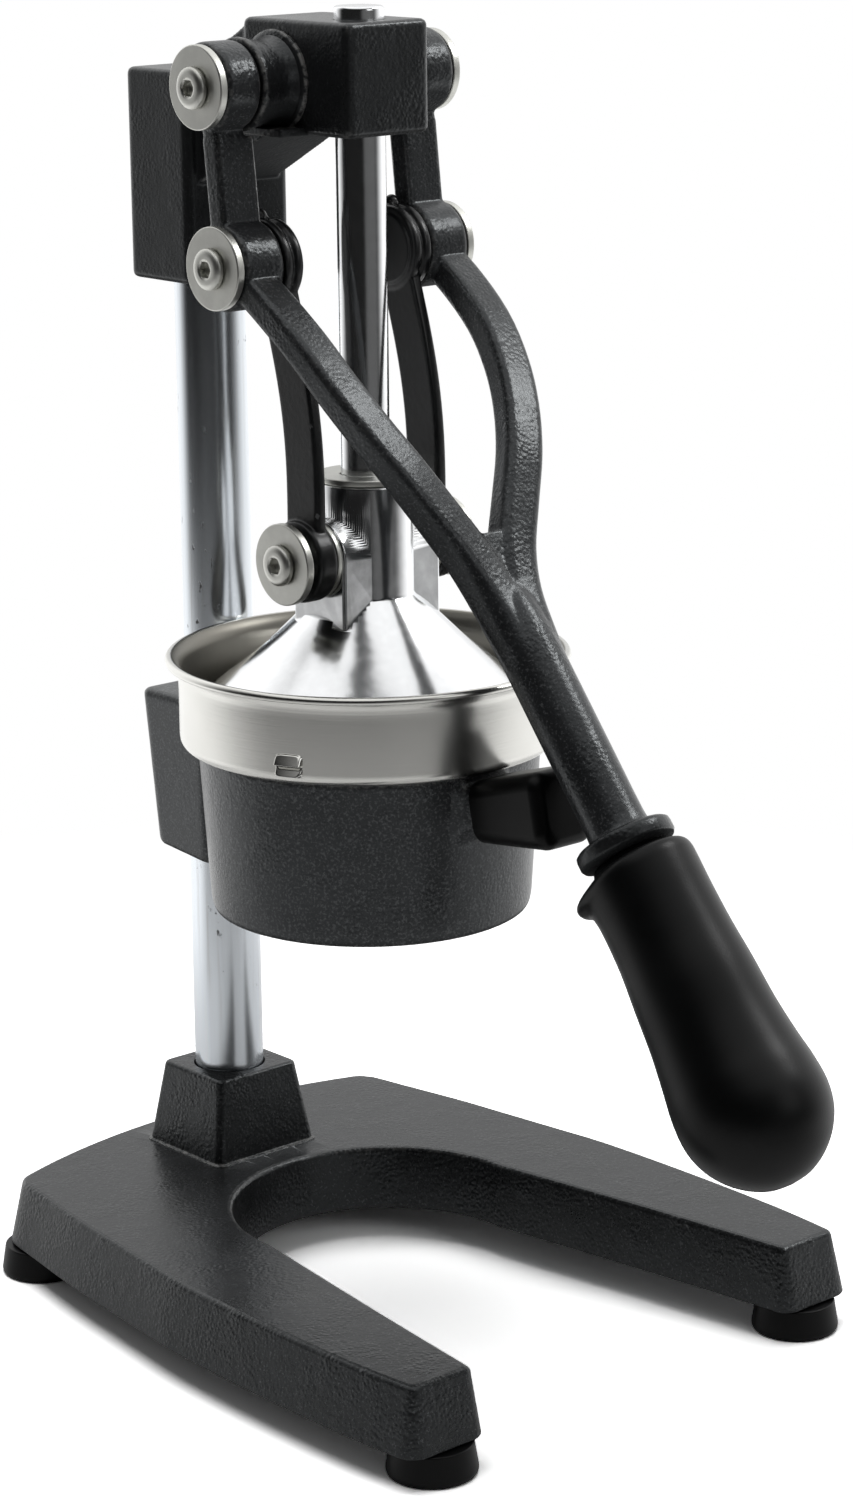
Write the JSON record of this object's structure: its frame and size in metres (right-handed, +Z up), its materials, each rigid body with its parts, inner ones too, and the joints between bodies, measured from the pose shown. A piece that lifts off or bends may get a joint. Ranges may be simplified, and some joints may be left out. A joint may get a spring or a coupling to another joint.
{
  "type": "citrus press",
  "caption": "Countertop citrus press: a long forked lever and two links drive a chromed cone down onto a strainer and juice funnel held on a steel post over a horseshoe base.",
  "frame": {"origin": "on the worktop under the feet, on the plunger's axis: the middle of where the glass stands", "axes": "+Z up along the plunger's travel, -Y towards the user and the hand grip, +Y to the post, +X to the user's right; the pivots run along X"},
  "size_m": [0.1846, 0.2916, 0.3964],
  "materials": {
    "charcoal_casting": "hammered charcoal powder coat, semi-gloss",
    "dark_paint": "smooth dark grey paint, semi-gloss",
    "nickel": "satin nickel plate",
    "plated_tube": "zinc-plated steel tube, lightly drawn along its length",
    "satin_steel": "satin stainless sheet",
    "polished_chrome": "polished chrome plate",
    "bronze": "plain turned bronze",
    "black_rubber": "moulded black rubber",
    "black_grip": "smooth satin black moulded grip"
  },
  "bodies": {
    "frame": {"base_casting": "charcoal_casting", "head_casting": "charcoal_casting", "cup_casting": "charcoal_casting", "foot_front_left": "black_rubber", "foot_screw_front_left": "nickel", "foot_front_right": "black_rubber", "foot_screw_front_right": "nickel", "foot_rear_left": "black_rubber", "foot_screw_rear_left": "nickel", "foot_rear_right": "black_rubber", "foot_screw_rear_right": "nickel", "post": "plated_tube", "post_plug": "nickel", "post_bolt_washer": "nickel", "post_bolt": "nickel", "head_set_screw_lower": "nickel", "head_set_screw_upper": "nickel", "cup_set_screw_lower": "nickel", "cup_set_screw_upper": "nickel", "rod_guide_bush_lower": "bronze", "rod_guide_bush_upper": "bronze", "bumper_cap": "black_rubber", "juice_funnel": "satin_steel", "funnel_cone": "satin_steel", "funnel_spout": "satin_steel", "strainer": "satin_steel", "upper_pivot_bolt_left": "nickel", "upper_pivot_washer_left": "nickel", "upper_pivot_bolt_right": "nickel", "upper_pivot_washer_right": "nickel"},
    "lever": {"lever_casting": "charcoal_casting", "hand_grip": "black_grip", "upper_pivot_bush_left": "bronze", "middle_pivot_bolt_left": "nickel", "middle_pivot_washer_left": "nickel", "upper_pivot_bush_right": "bronze", "middle_pivot_bolt_right": "nickel", "middle_pivot_washer_right": "nickel"},
    "plunger": {"press_cone": "polished_chrome", "press_rod": "polished_chrome", "rod_flange": "nickel", "cone_bolt_washer": "nickel", "cone_bolt": "nickel", "lower_pivot_bolt_left": "nickel", "lower_pivot_washer_left": "nickel", "lower_pivot_spacer_left": "nickel", "lower_thrust_washer_left": "nickel", "lower_pivot_bolt_right": "nickel", "lower_pivot_washer_right": "nickel", "lower_pivot_spacer_right": "nickel", "lower_thrust_washer_right": "nickel"},
    "link_left": {"link_left": "dark_paint", "link_bush_left": "bronze"},
    "link_right": {"link_right": "dark_paint", "link_bush_right": "bronze"}
  },
  "joints": [
    {"name": "lever_pivot", "type": "hinge", "parent": "frame", "child": "lever", "pos_m": [0, 0.0191, 0.3747], "axis": [-1, 0, 0], "range_deg": [0, 100]},
    {"name": "plunger_slide", "type": "slide", "parent": "frame", "child": "plunger", "axis": [0, 0, 1], "range_m": [0, 0.0702]},
    {"name": "link_left_pivot", "type": "hinge", "parent": "plunger", "child": "link_left", "pos_m": [-0.02435, 0, 0.2368], "axis": [1, 0, 0], "range_deg": [0, 29.1]},
    {"name": "link_right_pivot", "type": "hinge", "parent": "plunger", "child": "link_right", "pos_m": [0.02435, 0, 0.2368], "axis": [1, 0, 0], "range_deg": [0, 29.1]}
  ],
  "couplings": [
    {"joint": "plunger_slide", "follows": "lever_pivot", "m_per_rad": 0.040153},
    {"joint": "link_left_pivot", "follows": "lever_pivot", "ratio": 0.2901},
    {"joint": "link_right_pivot", "follows": "lever_pivot", "ratio": 0.2901}
  ]
}
